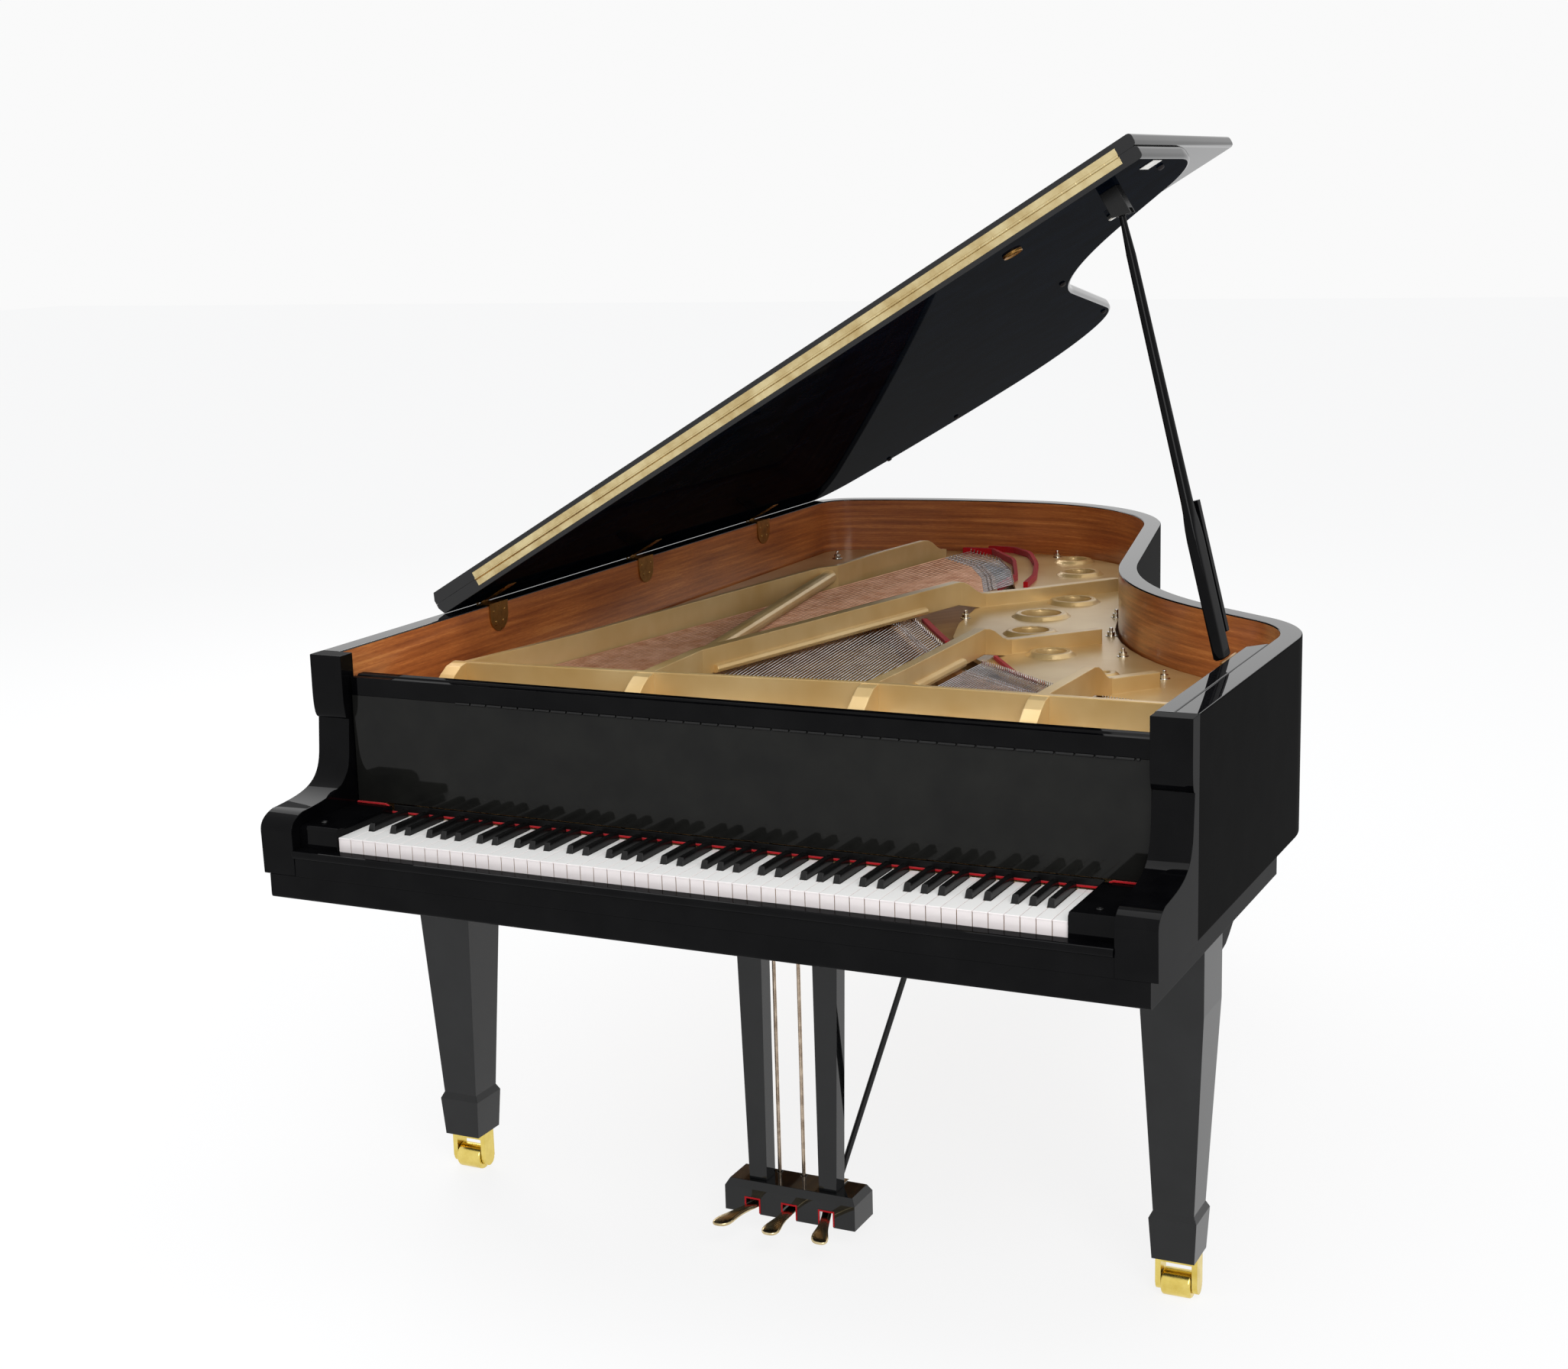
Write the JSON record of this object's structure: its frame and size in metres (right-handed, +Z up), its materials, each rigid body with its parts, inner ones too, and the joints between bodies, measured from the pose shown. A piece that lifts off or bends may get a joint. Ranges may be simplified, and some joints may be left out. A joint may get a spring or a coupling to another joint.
{
  "type": "grand piano",
  "caption": "Black polished grand piano with its lid raised on a long prop, front flap folded back, pedal lyre and brass casters.",
  "frame": {"origin": "middle of the footprint box at floor level, under the casters", "axes": "+Z up, +Y from the keyboard towards the tail, +X from bass to treble"},
  "size_m": [1.5118, 2.266, 1.7908],
  "materials": {
    "polish": "black polyester, polished to a mirror",
    "satin_black": "satin black lacquer",
    "black_metal": "black paint",
    "rim_wood": "bare laminated hardwood",
    "spruce": "clear varnish",
    "plate_gold": "gold bronze lacquer on cast iron",
    "copper": "bare copper winding",
    "steel_wire": "drawn wire",
    "key_white": "gloss white key cover",
    "key_black": "satin black",
    "brass": "polished, slightly aged",
    "pedal_brass": "worn polished brass"
  },
  "bodies": {
    "case": {"outer_rim": "polish", "inner_rim": "rim_wood", "bass_arm": "polish", "treble_arm": "polish", "keybed": "polish", "bottom_braces": "spruce", "soundboard": "spruce", "pin_block": "rim_wood", "iron_plate": "plate_gold", "bass_strings": "copper", "treble_strings": "steel_wire", "keyboard": "key_white", "action": "rim_wood", "key_slip": "polish", "key_block_bass": "polish", "key_block_treble": "polish", "stretcher": "polish", "lid_hinge_front": "brass", "lid_hinge_middle": "brass", "lid_hinge_rear": "brass", "prop_hinge": "brass", "leg_bass": "polish", "leg_treble": "polish", "leg_rear": "polish", "lyre_head": "polish", "lyre_post_bass": "polish", "lyre_post_treble": "polish", "lyre_box": "polish", "lyre_brace": "black_metal"},
    "lid": {"main_lid": "polish", "prop_cup": "black_metal"},
    "flap": {"front_flap": "polish"},
    "prop": {"long_prop": "polish"},
    "half_prop": {"short_prop": "polish"},
    "fall": {"fallboard": "satin_black"},
    "lip": {"fallboard_lip": "polish"},
    "pedal_left": {"pedal_left": "pedal_brass"},
    "rod_left": {"pedal_rod_left": "copper"},
    "pedal_middle": {"pedal_middle": "pedal_brass"},
    "rod_middle": {"pedal_rod_middle": "copper"},
    "pedal_right": {"pedal_right": "pedal_brass"},
    "rod_right": {"pedal_rod_right": "copper"},
    "fork_bass": {"caster_fork_bass": "brass"},
    "roller_bass": {"caster_roller_bass": "brass"},
    "fork_treble": {"caster_fork_treble": "brass"},
    "roller_treble": {"caster_roller_treble": "brass"},
    "fork_rear": {"caster_fork_rear": "brass"},
    "roller_rear": {"caster_roller_rear": "brass"},
    "key_c": {"key_c": "key_white"},
    "key_c_sharp": {"key_c_sharp": "key_black"},
    "key_d": {"key_d": "key_white"},
    "key_d_sharp": {"key_d_sharp": "key_black"},
    "key_e": {"key_e": "key_white"},
    "key_f": {"key_f": "key_white"},
    "key_f_sharp": {"key_f_sharp": "key_black"},
    "key_g": {"key_g": "key_white"},
    "key_g_sharp": {"key_g_sharp": "key_black"},
    "key_a": {"key_a": "key_white"},
    "key_a_sharp": {"key_a_sharp": "key_black"},
    "key_b": {"key_b": "key_white"}
  },
  "joints": [
    {"name": "lid_hinge", "type": "hinge", "parent": "case", "child": "lid", "pos_m": [-0.7331, -1.10404, 1.004], "axis": [0, -1, 0], "range_deg": [0, 20]},
    {"name": "flap_hinge", "type": "hinge", "parent": "lid", "child": "flap", "pos_m": [-0.10165, -0.58204, 1.39204], "axis": [0.8625, 0, 0.506], "range_deg": [0, 180]},
    {"name": "prop_fold", "type": "hinge", "parent": "case", "child": "prop", "pos_m": [0.6879, -0.53804, 0.993], "axis": [0, -1, 0], "range_deg": [0, 72]},
    {"name": "half_prop_fold", "type": "hinge", "parent": "prop", "child": "half_prop", "pos_m": [0.66701, -0.53804, 1.03714], "axis": [0, 1, 0], "range_deg": [0, 90]},
    {"name": "fall_hinge", "type": "hinge", "parent": "case", "child": "fall", "pos_m": [0.0079, -0.94304, 0.758], "axis": [1, 0, 0], "range_deg": [0, 90]},
    {"name": "lip_hinge", "type": "hinge", "parent": "fall", "child": "lip", "pos_m": [0.0079, -0.94904, 0.92715], "axis": [1, 0, 0], "range_deg": [0, 90]},
    {"name": "pedal_left_press", "type": "hinge", "parent": "case", "child": "pedal_left", "pos_m": [-0.03383, -0.75204, 0.06], "axis": [1, 0, 0], "range_deg": [0, 8], "stiffness_Nm_per_rad": 20, "springref_deg": -5.73},
    {"name": "rod_left_lift", "type": "slide", "parent": "case", "child": "rod_left", "axis": [0, 0, 1], "range_m": [0, 0.0045]},
    {"name": "pedal_middle_press", "type": "hinge", "parent": "case", "child": "pedal_middle", "pos_m": [0.0219, -0.75204, 0.06], "axis": [1, 0, 0], "range_deg": [0, 8], "stiffness_Nm_per_rad": 20, "springref_deg": -5.73},
    {"name": "rod_middle_lift", "type": "slide", "parent": "case", "child": "rod_middle", "axis": [0, 0, 1], "range_m": [0, 0.0045]},
    {"name": "pedal_right_press", "type": "hinge", "parent": "case", "child": "pedal_right", "pos_m": [0.07763, -0.75204, 0.06], "axis": [1, 0, 0], "range_deg": [0, 8], "stiffness_Nm_per_rad": 20, "springref_deg": -5.73},
    {"name": "rod_right_lift", "type": "slide", "parent": "case", "child": "rod_right", "axis": [0, 0, 1], "range_m": [0, 0.0045]},
    {"name": "caster_bass_swivel", "type": "hinge", "parent": "case", "child": "fork_bass", "pos_m": [-0.6511, -0.71004, 0.06], "axis": [0, 0, 1], "continuous": true},
    {"name": "caster_bass_roll", "type": "hinge", "parent": "fork_bass", "child": "roller_bass", "pos_m": [-0.6511, -0.71004, 0.022], "axis": [1, 0, 0], "continuous": true},
    {"name": "caster_treble_swivel", "type": "hinge", "parent": "case", "child": "fork_treble", "pos_m": [0.6669, -0.71004, 0.06], "axis": [0, 0, 1], "continuous": true},
    {"name": "caster_treble_roll", "type": "hinge", "parent": "fork_treble", "child": "roller_treble", "pos_m": [0.6669, -0.71004, 0.022], "axis": [1, 0, 0], "continuous": true},
    {"name": "caster_rear_swivel", "type": "hinge", "parent": "case", "child": "fork_rear", "pos_m": [-0.2821, 0.84596, 0.06], "axis": [0, 0, 1], "continuous": true},
    {"name": "caster_rear_roll", "type": "hinge", "parent": "fork_rear", "child": "roller_rear", "pos_m": [-0.2821, 0.84596, 0.022], "axis": [1, 0, 0], "continuous": true},
    {"name": "key_c_press", "type": "hinge", "parent": "case", "child": "key_c", "pos_m": [0.0079, -0.87904, 0.705], "axis": [1, 0, 0], "range_deg": [0, 2.55], "stiffness_Nm_per_rad": 1.5, "springref_deg": -8.59},
    {"name": "key_c_sharp_press", "type": "hinge", "parent": "case", "child": "key_c_sharp", "pos_m": [0.0079, -0.87904, 0.705], "axis": [1, 0, 0], "range_deg": [0, 2.55], "stiffness_Nm_per_rad": 1.5, "springref_deg": -8.59},
    {"name": "key_d_press", "type": "hinge", "parent": "case", "child": "key_d", "pos_m": [0.0079, -0.87904, 0.705], "axis": [1, 0, 0], "range_deg": [0, 2.55], "stiffness_Nm_per_rad": 1.5, "springref_deg": -8.59},
    {"name": "key_d_sharp_press", "type": "hinge", "parent": "case", "child": "key_d_sharp", "pos_m": [0.0079, -0.87904, 0.705], "axis": [1, 0, 0], "range_deg": [0, 2.55], "stiffness_Nm_per_rad": 1.5, "springref_deg": -8.59},
    {"name": "key_e_press", "type": "hinge", "parent": "case", "child": "key_e", "pos_m": [0.0079, -0.87904, 0.705], "axis": [1, 0, 0], "range_deg": [0, 2.55], "stiffness_Nm_per_rad": 1.5, "springref_deg": -8.59},
    {"name": "key_f_press", "type": "hinge", "parent": "case", "child": "key_f", "pos_m": [0.0079, -0.87904, 0.705], "axis": [1, 0, 0], "range_deg": [0, 2.55], "stiffness_Nm_per_rad": 1.5, "springref_deg": -8.59},
    {"name": "key_f_sharp_press", "type": "hinge", "parent": "case", "child": "key_f_sharp", "pos_m": [0.0079, -0.87904, 0.705], "axis": [1, 0, 0], "range_deg": [0, 2.55], "stiffness_Nm_per_rad": 1.5, "springref_deg": -8.59},
    {"name": "key_g_press", "type": "hinge", "parent": "case", "child": "key_g", "pos_m": [0.0079, -0.87904, 0.705], "axis": [1, 0, 0], "range_deg": [0, 2.55], "stiffness_Nm_per_rad": 1.5, "springref_deg": -8.59},
    {"name": "key_g_sharp_press", "type": "hinge", "parent": "case", "child": "key_g_sharp", "pos_m": [0.0079, -0.87904, 0.705], "axis": [1, 0, 0], "range_deg": [0, 2.55], "stiffness_Nm_per_rad": 1.5, "springref_deg": -8.59},
    {"name": "key_a_press", "type": "hinge", "parent": "case", "child": "key_a", "pos_m": [0.0079, -0.87904, 0.705], "axis": [1, 0, 0], "range_deg": [0, 2.55], "stiffness_Nm_per_rad": 1.5, "springref_deg": -8.59},
    {"name": "key_a_sharp_press", "type": "hinge", "parent": "case", "child": "key_a_sharp", "pos_m": [0.0079, -0.87904, 0.705], "axis": [1, 0, 0], "range_deg": [0, 2.55], "stiffness_Nm_per_rad": 1.5, "springref_deg": -8.59},
    {"name": "key_b_press", "type": "hinge", "parent": "case", "child": "key_b", "pos_m": [0.0079, -0.87904, 0.705], "axis": [1, 0, 0], "range_deg": [0, 2.55], "stiffness_Nm_per_rad": 1.5, "springref_deg": -8.59}
  ],
  "couplings": [
    {"joint": "rod_left_lift", "follows": "pedal_left_press", "m_per_rad": 0.0312},
    {"joint": "rod_middle_lift", "follows": "pedal_middle_press", "m_per_rad": 0.0312},
    {"joint": "rod_right_lift", "follows": "pedal_right_press", "m_per_rad": 0.0312}
  ]
}
